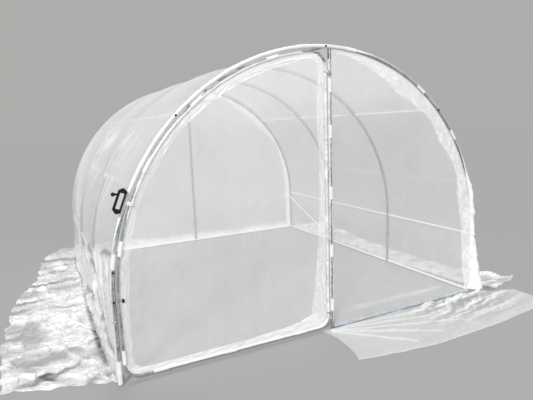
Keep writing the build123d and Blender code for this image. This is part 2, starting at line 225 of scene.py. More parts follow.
def crumple(u, v, wave, heading, spread, count, seed):
    """Flat facets between sharp creases: triangle waves laid over each other."""
    rng = np.random.default_rng(seed)
    bent_u = u + 0.55 * wave * hills(u, v, 2.3 * wave, seed + 1)
    bent_v = v + 0.55 * wave * hills(u, v, 2.3 * wave, seed + 2)
    total = 0
    for _ in range(count):
        turn = math.radians(heading + rng.uniform(-spread, spread))
        length = wave * rng.uniform(0.6, 1.9)
        phase = (bent_u * math.cos(turn) + bent_v * math.sin(turn)) / length + rng.uniform()
        total += (np.abs(phase % 1 - 0.5) * 4 - 1) * length / wave
    return total / math.sqrt(count)


def fold(u, v, path, width):
    """A pinched fold along a line of places, 0 to 1."""
    nearest = np.inf
    for (a, b), (c, d) in zip(path[:-1], path[1:]):
        du, dv = c - a, d - b
        along = unit(((u - a) * du + (v - b) * dv) / (du * du + dv * dv))
        nearest = np.minimum(nearest, np.hypot(u - a - along * du, v - b - along * dv))
    return hump(nearest, width)


def folds(u, v, paths, width):
    """All the folds of a list of lines, added up."""
    return sum(fold(u, v, path, width) for path in paths)


def patches(u, v, spots):
    """Soft-edged patches, longer than wide."""
    return sum(np.exp(-((u - a) / (1.5 * size)) ** 4 - ((v - b) / size) ** 4) for a, b, size in spots)


def denser(points):
    """A grid with rows and columns added halfway, on a smooth curve."""
    for axis in (0, 1):
        rows = np.moveaxis(points, axis, 0)
        longer = np.concatenate([2 * rows[:1] - rows[1:2], rows, 2 * rows[-1:] - rows[-2:-1]])
        between = (9 * (longer[1:-2] + longer[2:-1]) - longer[:-3] - longer[3:]) / 16
        joined = np.empty((2 * len(rows) - 1,) + rows.shape[1:])
        joined[0::2], joined[1::2] = rows, between
        points = np.moveaxis(joined, 0, axis)
    return points


def value_at(table, place):
    """The value at a place, from a table of places and values."""
    places, values = zip(*table)
    return np.interp(place, places, values)


def near(distance, width):
    """1 at a place, falling off sharply to 0."""
    return np.exp(-np.abs(distance) / width)


def hump(distance, width):
    """1 at a place, with a round top, falling off to 0."""
    return np.exp(-(distance / width) ** 2)


def rows_of(first, last, step):
    """Places along a sheet, one to each row."""
    return np.linspace(first, last, int((last - first) / step))[:, None]


def columns_of(count):
    """Shares of the way across a sheet, one to each column."""
    return np.linspace(0, 1, count)[None, :]


def grid(x, y, z):
    """A grid of points from three grids, columns or numbers."""
    return np.stack(np.broadcast_arrays(x, y, z), -1)


def grid_faces(rows, columns):
    """The faces of a grid, as four corners each."""
    index = np.arange(rows * columns).reshape(rows, columns)
    return np.stack([index[:-1, :-1], index[1:, :-1], index[1:, 1:], index[:-1, 1:]], -1).reshape(-1, 4)


def linked(name, data):
    """An object in the scene."""
    thing = bpy.data.objects.new(name, data)
    scene.collection.objects.link(thing)
    return thing


def new_object(name, points, faces):
    """A mesh object in the scene, from a list or grid of points."""
    mesh = bpy.data.meshes.new(name)
    mesh.from_pydata(np.reshape(points, (-1, 3)).tolist(), [], np.array(faces).tolist())
    return linked(name, mesh)


def level_square(name, reach, height):
    """A level square about the origin."""
    corners = [(reach * x, reach * y, height) for x, y in ((-1, -1), (1, -1), (1, 1), (-1, 1))]
    return new_object(name, corners, [(0, 1, 2, 3)])


def grid_piece(name, points, u, v, material, milk=None, painted_shade=None, body="tunnel"):
    """A sheet from a grid of points, with flat sizes as UV map, how milky it is, and where shade is painted
    on it.
    """
    shape = points.shape[:2]
    faces = grid_faces(*shape)
    piece = new_object(name, points, faces)
    mesh = piece.data
    layer = mesh.uv_layers.new(name="flat")
    flat = np.stack([np.broadcast_to(row, shape).reshape(-1) for row in (u, v)], -1)[faces.reshape(-1)]
    layer.data.foreach_set("uv", flat.astype(np.float32).reshape(-1))
    for word, amount in (("milk", milk), ("painted_shade", painted_shade)):
        if amount is not None:
            attribute_layer = mesh.attributes.new(word, "FLOAT", "POINT")
            attribute_layer.data.foreach_set("value", np.broadcast_to(amount, shape).astype(np.float32).reshape(-1))
    mesh.shade_smooth()
    mesh.materials.append(material)
    mesh.update()
    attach(piece, body)
    return piece


class Shader:
    """The nodes of a material or world, with short calls that add and join them."""

    def __init__(self, owner):
        owner.use_nodes = True
        self.owner = owner
        self.tree = owner.node_tree
        self.tree.nodes.clear()

    def add(self, kind, values=None, **settings):
        """A node with its settings, its sockets set to values or joined to other nodes."""
        node = self.tree.nodes.new("ShaderNode" + kind)
        for key, value in settings.items():
            setattr(node, key, value)
        for socket, value in (values or {}).items():
            if isinstance(value, bpy.types.NodeSocket):
                self.tree.links.new(value, node.inputs[socket])
            else:
                node.inputs[socket].default_value = value
        return node

    def finish(self, surface, kind="OutputMaterial"):
        self.add(kind, {"Surface": surface})
        return self.owner

    def place(self):
        return self.add("TexCoord").outputs["Object"]

    def attribute(self, name):
        return self.add("Attribute", attribute_name=name).outputs["Fac"]

    def math(self, operation, first, second, clamp=False):
        return self.add("Math", {0: first, 1: second}, operation=operation, use_clamp=clamp).outputs[0]

    def mixed(self, share, first, second):
        return self.add("MixShader", {0: share, 1: first, 2: second}).outputs[0]

    def noise(self, vector, scale, detail=3, roughness=0.5, distortion=0):
        values = {"Vector": vector, "Scale": scale, "Detail": detail, "Roughness": roughness,
                  "Distortion": distortion}
        return self.add("TexNoise", values).outputs["Fac"]

    def span(self, value, low, high, new_low, new_high):
        """A value carried from one range to another, held inside it."""
        values = {0: value, 1: low, 2: high, 3: new_low, 4: new_high}
        return self.add("MapRange", values, clamp=True).outputs["Result"]

    def ramp(self, amount, low, high):
        """A colour on the way between two, each given with its place."""
        node = self.add("ValToRGB", {"Fac": amount})
        for element, (place, colour) in zip(node.color_ramp.elements, (low, high)):
            element.position = place
            element.color = (*colour, 1)
        return node.outputs["Color"]

    def bumps(self, height, strength, distance):
        values = {"Height": height, "Strength": strength, "Distance": distance}
        return self.add("Bump", values).outputs["Normal"]

    def round_arch(self, vector):
        """A place's distance from the arch's axis and along the tunnel, alike all round a hoop."""
        parts = self.add("SeparateXYZ", {0: vector}).outputs
        above = self.math("MAXIMUM", self.math("SUBTRACT", parts["Z"], LEG), 0)
        square = self.math("ADD", self.math("POWER", parts["X"], 2), self.math("POWER", above, 2))
        around = {"X": self.math("SQRT", square, 0), "Y": parts["Y"]}
        return self.add("CombineXYZ", around).outputs["Vector"]


def film_material(name, haze, cloudy, streaky, crease, wave):
    """Clear polythene: see-through, milky in patches and streaks, with fine bright creases."""
    nodes = Shader(bpy.data.materials.new(name))
    place = nodes.place()
    cloud = nodes.span(nodes.noise(place, 1.9, 4, 0.55), 0.35, 0.7, 0, cloudy)
    drawn = nodes.add("Mapping", {"Vector": place, "Scale": (9, 9, 2.2), "Rotation": (0.5, 0.3, 0)})
    line = nodes.span(nodes.noise(drawn.outputs["Vector"], 1.6, 5, 0.62, 0.6), 0.5, 0.74, 0, streaky)

    wander = nodes.add("TexNoise", {"Vector": place, "Scale": 0.7 / wave, "Detail": 3})
    shift = nodes.add("VectorMath", {0: wander.outputs["Color"], "Scale": wave * 1.2}, operation="SCALE")
    bent = nodes.add("VectorMath", {0: place, 1: shift.outputs[0]}, operation="ADD")
    facets = nodes.add("TexVoronoi", {"Vector": bent.outputs[0], "Scale": 1 / wave},
                       feature="DISTANCE_TO_EDGE")
    ridge = nodes.span(facets.outputs["Distance"], 0, 0.07, 1, 0)
    where = nodes.span(nodes.noise(place, 0.5 / wave, 3), 0.42, 0.62, 0, crease)
    ridge = nodes.math("MULTIPLY", ridge, where)

    slant = nodes.add("LayerWeight", {"Blend": 0.5}).outputs["Facing"]
    steep = nodes.math("MULTIPLY", nodes.math("POWER", slant, 2.6), 0.5)
    total = nodes.math("ADD", nodes.attribute("milk"), haze)
    for part in (cloud, line, ridge, steep):
        total = nodes.math("ADD", total, part)
    alpha = nodes.span(total, 0.04, 0.98, 0.04, 0.98)
    blocks = nodes.span(nodes.add("LightPath").outputs["Is Shadow Ray"], 0, 1, 1, LIGHT_BLOCKED)
    alpha = nodes.math("MULTIPLY", alpha, blocks)

    # A little real dust from noise, added to the painted shade held in the attribute, darkens the film's
    # colour
    dust = nodes.span(nodes.noise(place, 5, 5, 0.65), 0.52, 0.85, 0, 0.12)
    dust_and_shade = nodes.math("ADD", nodes.attribute("painted_shade"), dust, clamp=True)
    colour = nodes.ramp(dust_and_shade, (0, FILM_TINT), (1, SHADE_AND_DUST))
    grain = nodes.math("ADD", nodes.noise(place, 18, 3, 0.5, 0.6), nodes.math("MULTIPLY", ridge, 0.8))
    gloss = {"Base Color": colour, "Roughness": FILM_ROUGHNESS, "Specular IOR Level": 0.5,
             "Normal": nodes.bumps(grain, 0.22, 0.004)}
    glossy = nodes.add("BsdfPrincipled", gloss).outputs[0]
    glow = nodes.add("BsdfTranslucent", {"Color": colour}).outputs[0]
    through = nodes.add("BsdfTransparent").outputs[0]
    return nodes.finish(nodes.mixed(alpha, through, nodes.mixed(FILM_GLOW, glossy, glow)))


def steel_material(name, dark, pale, metallic, rough, spangle, bent=False):
    """Zinc-coated steel: a faint spangle, duller patches and, on bent tube, streaks along it."""
    nodes = Shader(bpy.data.materials.new(name))
    place = nodes.place()
    cells = nodes.add("TexVoronoi", {"Vector": place, "Scale": spangle})
    grain = nodes.math("MULTIPLY", cells.outputs["Color"], 0.5)
    bloom = nodes.noise(place, 14, 5, 0.6)
    cell_share, bloom_share = (0.4, 0.85) if bent else (0.7, 0.6)
    amount = nodes.math("ADD", nodes.math("MULTIPLY", grain, cell_share),
                        nodes.math("MULTIPLY", bloom, bloom_share))
    if bent:
        streak = nodes.span(nodes.noise(nodes.round_arch(place), 130, 2), 0.4, 0.62, -0.3, 0.34)
        height = nodes.add("SeparateXYZ", {0: place}).outputs["Z"]
        streak = nodes.math("MULTIPLY", streak, nodes.span(height, 0.09, 0.16, 0, 1))
        amount = nodes.math("ADD", amount, streak, clamp=True)
    metal = {"Base Color": nodes.ramp(amount, (0.25, dark), (0.8, pale)), "Metallic": metallic,
             "Roughness": nodes.span(bloom, 0.3, 0.7, rough - 0.08, rough + 0.1),
             "Normal": nodes.bumps(nodes.noise(place, 160, 3), 0.12, 0.001)}
    return nodes.finish(nodes.add("BsdfPrincipled", metal).outputs[0])


def plastic_material(name, color, rough, grain, shine=0.5):
    """Moulded plastic: a fine even grain, and slight dulling in patches."""
    nodes = Shader(bpy.data.materials.new(name))
    place = nodes.place()
    patch = nodes.noise(place, 22, 4)
    duller = [channel * 0.86 for channel in color]
    plastic = {"Base Color": nodes.ramp(patch, (0.3, duller), (0.65, color)), "Specular IOR Level": shine,
               "Roughness": nodes.span(patch, 0.3, 0.7, rough + 0.1, rough - 0.05),
               "Normal": nodes.bumps(nodes.noise(place, grain, 2), 0.2, 0.0005)}
    return nodes.finish(nodes.add("BsdfPrincipled", plastic).outputs[0])


clear_film = film_material("clear_film", 0.26, 0.07, 0.02, 0, 0.16)
cover_film = film_material("cover_film", 0.13, 0.06, 0.04, 0, 0.14)
ground_film = film_material("ground_film", 0.3, 0.08, 0.06, 0.2, 0.11)
apron_film = film_material("apron_film", 0.5, 0.06, 0.03, 0, 0.11)
folded_film = film_material("folded_film", 0.5, 0.05, 0.1, 0.18, 0.05)
finishes = {
    "galvanised_tube": steel_material("galvanised", (0.24, 0.255, 0.26), (0.56, 0.58, 0.59), 0.75, 0.3, 90),
    "zinc_fittings": steel_material("zinc", (0.36, 0.37, 0.38), (0.6, 0.61, 0.62), 0.8, 0.3, 240),
    "bolt": steel_material("dark_bolt", (0.03, 0.028, 0.026), (0.09, 0.085, 0.08), 0.7, 0.4, 300),
    "white_clip": plastic_material("white_plastic", (0.88, 0.88, 0.86), 0.4, 420),
    "black_plastic": plastic_material("black_plastic", (0.008, 0.008, 0.009), 0.34, 520, 0.28),
}
hoop_tube = steel_material("hoop_galvanised", (0.18, 0.195, 0.2), (0.84, 0.86, 0.87), 0.72, 0.28, 90, True)
# Painted light: a near-white, hardly metallic copy of the galvanised steel for the purlins, rails, braces
# and strap, as bright as they look lit inside the white film
lit_tube = steel_material("lit_galvanised", (0.8, 0.81, 0.8), (0.95, 0.95, 0.93), 0.08, 0.42, 90)
blue_tube = steel_material("blue_galvanised", (0.42, 0.46, 0.52), (0.74, 0.78, 0.83), 0.35, 0.34, 90)


def finish_of(node, slot):
    """The finish of a solid: its slot's own, but for the tubes that look unlike it."""
    if node in ("front_base_rail", "rail_clips"):
        return blue_tube
    if node in ("front_hoop", "door_frame"):
        return hoop_tube
    # These take the lighter copy of the steel, with its painted light
    if node.endswith(("shoulder_purlin", "rail", "brace")) or node == "handle_strap":
        return lit_tube
    return finishes.get(slot)


def dress_frame():
    """Gives every carried-over solid its finish."""
    for row in frame["record"]["subparts"]:
        finish = finish_of(row["node"], row["material_slot"])
        if finish is not None:
            mesh = frame["nodes"][row["node"]].data
            mesh.materials.clear()
            mesh.materials.append(finish)


def section(s, radius):
    """Places and outward directions on the section, s metres up from the left foot."""
    crown = math.pi * radius
    turn = math.pi - np.clip(s - LEG, 0, crown) / radius
    left, right = s < LEG, s > LEG + crown
    x = radius * np.cos(turn)
    z = LEG + radius * np.sin(turn)
    z = np.where(left, s, np.where(right, LEG - (s - LEG - crown), z))
    return x, z, np.cos(turn), np.where(left | right, 0, np.sin(turn))


def flare(side, y):
    """How far the wall's foot stands out from the frame."""
    out = 0.022 + 0.012 * hills(y, side * 3, 0.34, 31)
    near_front = near(y - FRONT, 0.2)
    return out + RIGHT_FLARE * near_front if side > 0 else out * (1 - 0.8 * near_front)


def side_bulge(s, y, length):
    """How far the film stands out low on both sides, most at the right front foot."""
    right = s > length / 2
    height = np.where(right, length - s, s)
    near_front = near(y - FRONT, 0.2)
    low = smooth(1.08 - height / 0.4)
    tent = np.clip((0.5 - height) / 0.36, 0, 1.2) / 1.2
    plain = low * (flare(1, y) - RIGHT_FLARE * near_front)
    pleats = crumple(height * 0.12 + 0.3 * y, y, 0.03, 60, 20, 6, 33) * 0.006 * near_front * smooth(tent * 3)
    slack = value_at(SIDE_SLACK, height) * near_front
    return np.where(right, plain + RIGHT_FLARE * near_front * tent + slack + pleats, flare(-1, y) * low)


def left_pleats(y, height):
    """Where the left wall's film is slack, and the pleats from there to the front foot."""
    slack = smooth((value_at(LEFT_SLACK, y) - height) / 0.07 + 0.5)
    run = np.hypot(y - FRONT, height) + 0.02
    turn = np.arctan2(height, y - FRONT + 0.02)
    pleats = crumple(turn * 0.55, run * 0.12, 0.055, 0, 10, 7, 21)
    pleats += 0.6 * crumple(turn * 0.5, run * 0.2, 0.02, 0, 25, 6, 22)
    return slack, pleats * np.clip(run / 0.9, 0.15, 1)


def cover_milk(s, y, angle):
    """How milky the cover is: most on the roof."""
    milk = value_at(ROOF_MILK, angle + 2 * hills(s, y, 0.4, 19))
    return milk + 0.16 * smooth((y - 0.3) / 1.2) * smooth((angle - 120) / 20)


def make_cover():
    """The one sheet over the hoops, which sags in each bay and between the rails."""
    length = 2 * LEG + math.pi * SKIN
    s = np.linspace(WALL_FOOT, length - WALL_FOOT, int(length / STEP))[:, None]
    y = np.linspace(FRONT + TUBE * 0.2, BACK + TUBE + FILM_GAP, int((BACK - FRONT) / STEP) + 1)[None, :]
    x, z, nx, nz = section(s, SKIN)
    angle = arch_angle(s, SKIN)
    left = s < length / 2
    height = np.where(left, s, length - s)
    on_wall = height < LEG
    between_rails = np.sin(math.pi * (angle % 45 / 45)) ** 0.7
    wall_loose = np.sin(math.pi * unit(height / LEG))
    share = ((y - FRONT) / BAY) % 1
    near_hoop = np.minimum(share, 1 - share) * BAY
    free = smooth(near_hoop / 0.1)
    slack = 1 + 0.35 * hills(s, y, 0.8, 5)
    sag = SAG * 4 * share * (1 - share) * np.where(on_wall, 0.35 * wall_loose, between_rails) * slack

    streak = crumple(s, y, 0.16, 62, 16, 7, 11) + 0.5 * crumple(s, y, 0.06, 66, 20, 6, 12)
    shoulder = hump(angle - 147, 12) * smooth((1.1 - np.abs(y)) / 0.5)
    drawn = 0.1 + 0.35 * smooth(hills(s, y, 0.55, 13) + 0.1) + 1.3 * shoulder
    relief = free * (0.0028 * streak * drawn + 0.0006 * crumple(s, y, 0.045, 80, 60, 8, 14))
    relief += free * near(height, 0.35) * 0.006 * crumple(s, y, 0.11, 90, 14, 6, 15)
    loose, pleats = left_pleats(y, height)
    loose = loose * left
    bulge = loose * smooth(near_hoop / 0.16) * (0.012 * pleats + 0.014 * wall_loose)
    valley = folds(y, height, LEFT_FOLDS, 0.015) * left
    flank = folds(y - 0.04, height + 0.022, LEFT_FOLDS, 0.024) * left
    lip = left * near(height - value_at(LEFT_SLACK, y), 0.012) * free
    rails = left * hump(angle - WAIST_ANGLE, 0.55)
    creases = sum(weight * hump(angle - turn, 0.5) for turn, weight in COVER_CREASES)
    offset = side_bulge(s, y, length) - sag + relief + bulge - 0.006 * valley * free + 0.024 * flank * free
    offset += 0.005 * lip + 0.0035 * creases + 0.003 * rails
    offset = np.maximum(offset, -0.0026 - 0.05 * np.where(on_wall, wall_loose, between_rails))
    points = grid(x + nx * offset, y, z + nz * offset)

    milk = cover_milk(s, y, angle) + 0.55 * shoulder * np.clip(np.abs(streak) - 0.9, -0.5, 1)
    milk += loose * (0.6 + 0.45 * np.clip(np.abs(pleats) - 0.6, -0.6, 1))
    milk += 0.4 * unit(creases) + 0.3 * rails + 0.45 * valley + 0.3 * flank + 0.2 * lip
    milk += np.where(left, 0.1, 0.45) * near(height - 0.045, 0.035)
    milk += 0.5 * hump(near_hoop, 0.024) * smooth((angle - 132) / 8) * (height > 0.1)
    # Painted shade: dark fold valleys and pleat troughs on the left wall, and a dark line along each wall's
    # foot, strongest on the left towards the front
    foot_shade = 0.35 + 0.5 * smooth((-0.3 - y) / 0.6)
    painted_shade = 0.78 * valley + 0.12 * loose * unit(-pleats - 0.7)
    painted_shade += np.where(left, foot_shade, 0.1) * near(height, 0.022)
    cover = grid_piece("cover", points, y, s, cover_film, milk, painted_shade)
    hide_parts("cover_left_wall", "cover_left_shoulder", "cover_left_roof",
                "cover_right_roof", "cover_right_shoulder", "cover_right_wall")


def lying(field, amount, floor=0.004):
    """Heights of folds, where what would dip below the ground lies flat."""
    return floor + amount * np.log1p(np.exp(2.2 * field)) / 2.2


def ground_creases(along, out, seed):
    """Folds out from the wall, and small creases, of dropped film."""
    return crumple(along, out, 0.15, 4, 20, 8, seed + 1), crumple(along, out, 0.055, 12, 20, 8, seed + 3)


def ground_height(along, out, seed):
    """Heights of film dropped on the ground."""
    gathers, small = ground_creases(along, out, seed)
    facets = crumple(along, out, 0.26, 0, 90, 7, seed + 2)
    fine = crumple(along, out, 0.024, 0, 90, 8, seed + 4)
    swell = 0.35 + 0.65 * smooth(0.5 + 1.2 * hills(along, out, 0.31, seed + 5))
    return swell * (lying(gathers, 0.012) + lying(facets, 0.015)) + 0.003 * small * swell + 0.001 * fine


def ground_milk_and_shade(along, out, seed):
    """How milky film dropped on the ground is, and the shade painted in the valleys of its gathers and
    creases.
    """
    gathers, small = ground_creases(along, out, seed)
    clouds = hills(along, out, 0.21, seed + 6) + 0.6 * hills(along, out, 0.09, seed + 7)
    milk = 0.6 * smooth(0.52 + 1.5 * clouds) - 0.1 + 0.34 * unit(np.abs(small) - 0.7)
    milk += 0.2 * np.clip(gathers, -1, 1) + 0.5 * hump(out - 0.012, 0.02)
    return milk, 0.7 * unit(-gathers - 0.85) + 0.55 * unit(-small - 1.1)


def settle(points):
    """Drops a slightly large sheet, held at its first column, and lets it buckle."""
    rows, columns = points.shape[:2]
    sheet = new_object("drop", points, grid_faces(rows, columns))
    ground = level_square("catch", 4, 0)
    ground.modifiers.new("Collision", "COLLISION")
    ground.collision.thickness_outer = 0.002
    ground.collision.cloth_friction = 12
    group = sheet.vertex_groups.new(name="held")
    group.add([row * columns for row in range(rows)], 1, "REPLACE")
    cloth = sheet.modifiers.new("Cloth", "CLOTH")
    values = {"quality": 5, "mass": 0.03, "tension_stiffness": 6, "compression_stiffness": 6,
              "shear_stiffness": 3, "bending_stiffness": 0.02, "air_damping": 2,
              "vertex_group_mass": "held", "shrink_min": -SLACK}
    for key, value in values.items():
        setattr(cloth.settings, key, value)
    cloth.collision_settings.distance_min = 0.002
    cloth.point_cache.frame_start = 1
    cloth.point_cache.frame_end = SETTLE_STEPS
    for step in range(1, SETTLE_STEPS + 1):
        scene.frame_set(step)
    settled = sheet.evaluated_get(bpy.context.evaluated_depsgraph_get())
    places = np.zeros(points.size, np.float32)
    settled.data.vertices.foreach_get("co", places)
    bpy.data.objects.remove(sheet)
    bpy.data.objects.remove(ground)
    scene.frame_set(1)
    return places.reshape(points.shape).astype(float)


def long_folds(points, y, out, milk, painted_shade, seed):
    """Raises the left sheet's long folds, adds its clear and white patches, and paints a shadow beside each
    fold.
    """
    along = y + 0.035 * hills(y, out, 0.1, seed)
    beside = out + 0.022 * hills(y, out, 0.08, seed + 1)
    crest = folds(along, beside, GROUND_FOLDS, 0.03)
    shadow_below = folds(along + 0.045, beside, GROUND_FOLDS, 0.02)
    clear = patches(along, beside, CLEAR_PATCHES)
    points[:, :, 2] += 0.024 * crest
    milk = milk + 0.45 * crest + 0.34 * patches(along, beside, WHITE_PATCHES) - 0.28 * clear
    return milk, painted_shade * (1 - 0.5 * clear) + 0.34 * shadow_below * (1 - crest)


def make_side_skirt(side, table, seed):
    """The crumpled strip that runs out from a wall's foot."""
    start, end = table[0][0], table[-1][0]
    y = rows_of(start, end, STEP)
    share = columns_of(44)
    width = value_at(table, y) + 0.012 * hills(y, 0, 0.09, seed)
    inner = flare(side, y) + 0.6 * unit(FRONT + 0.017 - y)
    out = share * np.maximum(width - inner, 0.012)
    x = side * (SKIN + inner + out)
    rise = (WALL_FOOT + 0.004) * near(out, 0.03)
    curl = 0.014 * smooth((share - 0.93) / 0.07) * smooth(0.3 + hills(y, 0, 0.22, seed + 9))
    lobe = 0.038 * smooth((FRONT + 0.1 - y) / 0.16) * smooth(out / 0.1) if side > 0 else 0
    height = ground_height(y, out, seed) * smooth(out / 0.05 + 0.1) + rise + curl + lobe
    wander = 0.01 * crumple(y, out, 0.08, 90, 40, 5, seed + 8) * smooth(out / 0.08)
    points = grid(x + side * wander * 0.5, y + wander, np.maximum(height, GROUND_GAP))
    if side < 0:
        points = settle(points)
    points = denser(points)
    y, out = denser(y + 0 * out), denser(out)
    fine = 0.0034 * ground_creases(y, out, seed)[1] * smooth(0.5 + hills(y, out, 0.2, seed + 10))
    points[:, :, 2] = np.maximum(points[:, :, 2] + fine * smooth(out / 0.04), GROUND_GAP)
    # Milk, and shade painted in the valleys of the creases
    milk, painted_shade = ground_milk_and_shade(y, out, seed)
    if side < 0:
        milk, painted_shade = long_folds(points, y, out, milk, painted_shade, seed + 12)
    # Painted shade: a dark line along the wall's foot, wider and darker towards the front
    nearer = smooth((0.2 - y) / 1)
    line = hump(out - 0.012 - 0.008 * nearer, 0.01 + 0.012 * nearer)
    painted_shade = painted_shade + line * (0.6 + 0.3 * nearer) * smooth(1.1 + hills(y, 0, 0.3, seed + 11))
    word = "left" if side < 0 else "right"
    piece = grid_piece(f"{word}_skirt", points, y, out, ground_film, milk, painted_shade)
    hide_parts(f"{word}_ground_skirt")


def make_back_skirt():
    """The strip behind the back film."""
    start, end = BACK_SKIRT[0][0], OUTER
    x = rows_of(start, end, STEP)
    out = columns_of(34) * value_at(BACK_SKIRT, x)
    height = 0.8 * ground_height(x, out, 61) * smooth(out / 0.05) + 0.02 * near(out, 0.02)
    points = grid(x, BACK + TUBE + 0.004 + out, np.maximum(height, GROUND_GAP))
    # Milk, and shade painted in the valleys of the creases
    milk, painted_shade = ground_milk_and_shade(x, out, 61)
    piece = grid_piece("back_skirt", points, x, out, ground_film, milk, painted_shade)
    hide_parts("back_ground_skirt")


def make_apron():
    """The smooth sheet before the fixed half, ruffled at its right-hand end."""
    start, end = APRON[0][0], APRON[-1][0]
    along = np.linspace(0, 1, int((end - start) / 0.007))[:, None]
    share = columns_of(84)
    far = start + along * (end - start)
    width = value_at(APRON, far)
    inner = 0.15 * unit((far - 1.45) / 0.35)
    out = inner + share * (width - inner)
    x = far + (1 - along) ** 6 * (value_at(APRON_LEFT, out) - start)
    corner = np.exp(-((x - 1.25) ** 2 / 0.2 + (out - 0.1) ** 2 / 0.06))
    ridges = crumple(x, out * 1.4, 0.12, 72, 16, 6, 72) + 0.5 * crumple(x, out * 1.2, 0.045, 66, 26, 6, 74)
    small = crumple(x, out, 0.05, 20, 90, 7, 73)
    fans = folds(x, out, APRON_FOLDS, 0.011)
    shade = folds(x - 0.012, out - 0.016, APRON_FOLDS, 0.01)
    height = lying(crumple(x, out, 0.19, 40, 30, 6, 71), 0.0022) + corner * lying(ridges, 0.02, 0)
    height = np.maximum(height + 0.0007 * small + 0.01 * fans, GROUND_GAP)
    rim = near((1 - share) * width, 0.012)
    line = near(x - 0.86 - 0.28 * out, 0.006) * smooth(out / 0.1)
    milk = corner * (0.8 * np.clip(ridges, -0.6, 1) - 0.12) + 0.4 * fans
    milk += 0.3 * rim + 0.25 * line - 0.1
    # Painted shade: a shadow beside each fold, and dark troughs between the ridges at the right-hand corner
    painted_shade = 0.12 * shade + 0.35 * corner * unit(-ridges - 0.6)
    points = grid(x, FRONT - TUBE - 0.002 - out, height)
    piece = grid_piece("apron", points, far, out, apron_film, milk, painted_shade)
    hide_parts("front_apron")


def half_arch(radius, left, right, columns, rows, low, high=None):
    """x and z of a grid that fills an arch between two upright lines, down to a low edge."""
    turn = np.linspace(math.asin(left / radius), math.asin(right / radius), columns)[None, :]
    x = radius * np.sin(turn)
    top = LEG + radius * np.cos(turn)
    if high is not None:
        low, top = low(x), high(x, top)
    share = np.linspace(0, 1, rows)[:, None]
    return x + 0 * share, low + share * (top - low)


def inside_arch(x, z, radius):
    """How far inside an arch, or its right-hand leg, a place is."""
    return np.where(z > LEG, radius - np.hypot(x, z - LEG), radius - x)


def pane_relief(x, z, edge, seed):
    """The small waves of a flat film between its held edges."""
    held = smooth(edge / 0.06)
    waves = 0.004 * hills(x, z, 0.42, seed) + 0.0016 * crumple(x, z, 0.2, 20, 40, 6, seed + 1)
    return held * (waves + 0.0005 * crumple(x, z, 0.06, 0, 90, 6, seed + 2))


def make_front_film():
    """The fixed film of the right half, from the post to the hoop."""
    left, right = POST + TUBE * 0.6, INNER + TUBE * 0.5
    x, z = half_arch(right, left, right * JUST_INSIDE, 120, 116, RAIL_TOP - 0.004)
    edge = np.minimum(np.minimum(inside_arch(x, z, right), x - left), z - RAIL_TOP)
    relief = pane_relief(x, z, edge, 81) - 0.004 * near(z - 0.115, 0.008)
    line = near(z - 0.115 - 0.006 * hills(x, 0, 0.3, 84), 0.008) * smooth((x - 0.12) / 0.2)
    milk = 0.45 * line * smooth(0.6 + hills(x, z, 0.25, 85)) + 0.22 * smooth((z - 1.35) / 0.5)
    piece = grid_piece("front_pane", grid(x, FRONT + relief, z), x, z, clear_film, milk)
    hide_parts("front_film")


def make_back_film():
    """The film over the whole back end, outside its hoop and post."""
    x, z = half_arch(SKIN, -SKIN * JUST_INSIDE, SKIN * JUST_INSIDE, 190, 110, WALL_FOOT)
    radial = inside_arch(np.abs(x), z, SKIN)
    relief = pane_relief(x, z, np.minimum(radial, z + 0.05), 91)
    relief = np.where(np.abs(x) < 0.05, np.abs(relief), relief)
    points = grid(x, BACK + TUBE + FILM_GAP + relief, z)
    low = np.exp(-(z / 0.09) ** 4) * (0.55 + 0.25 * hills(x, z, 0.3, 95))
    milk = 0.05 * smooth((z - 1.3) / 0.6) + 0.16 * near(radial, 0.05) + low
    piece = grid_piece("back_pane", points, x, z, clear_film, milk)
    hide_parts("back_film")


def door_low_edge(x):
    """The centre of the door's foot tube, with its rounded corners."""
    into = np.clip(FOOT_BEND - np.minimum(x + DOOR, STILE - x), 0, FOOT_BEND)
    return DOOR_FOOT + FOOT_BEND - np.sqrt(FOOT_BEND ** 2 - into ** 2)


def head_centre():
    """The centre of the bend where the door's arch meets its stile."""
    middle = STILE - HEAD_BEND
    return middle, LEG + math.sqrt((DOOR - HEAD_BEND) ** 2 - middle ** 2)


def door_high_edge(x, arch):
    """The centre of the door's arched tube, with its rounded head at the stile."""
    middle, height = head_centre()
    tangent = middle * DOOR / (DOOR - HEAD_BEND)
    return np.where(x > tangent, height + np.sqrt(np.maximum(HEAD_BEND ** 2 - (x - middle) ** 2, 0)), arch)


def make_door_film():
    """The door's film, inside its ring of tube."""
    x, z = half_arch(DOOR, -DOOR * JUST_INSIDE, STILE, 122, 116, door_low_edge, door_high_edge)
    edge = np.minimum(np.minimum(inside_arch(-x, z, DOOR), STILE - x), z - DOOR_FOOT)
    points = grid(x, FRONT + pane_relief(x, z, edge, 101), z)
    milk = 0.13 + 0.22 * smooth((z - 1.35) / 0.5)
    piece = grid_piece("door_pane", points, x, z, clear_film, milk, body="door")
    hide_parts("door_film")


def arch_angle(s, radius):
    """The angle of a place on the section, running on below the arch's ends."""
    return 180 - np.degrees((s - LEG) / radius)


def along_hoop(angle):
    """The place along a hoop at an angle."""
    return LEG + math.radians(180 - angle) * HOOP


def clip_distance(s):
    """How far a place on the front hoop is from the nearest clip."""
    places = [along_hoop(angle) for angle in HOOP_CLIPS] + [HOOP_LENGTH - LOW_CLIP]
    return np.min([np.abs(s - place) for place in places], axis=0)


def round_tube(line, turn, radius, middle):
    """Points on a tube, from its centre line and outward directions, and a turn in degrees."""
    x, z, nx, nz = line
    out, front = radius * np.cos(np.radians(turn)), radius * np.sin(np.radians(turn))
    return x + out * nx, middle - front, z + out * nz


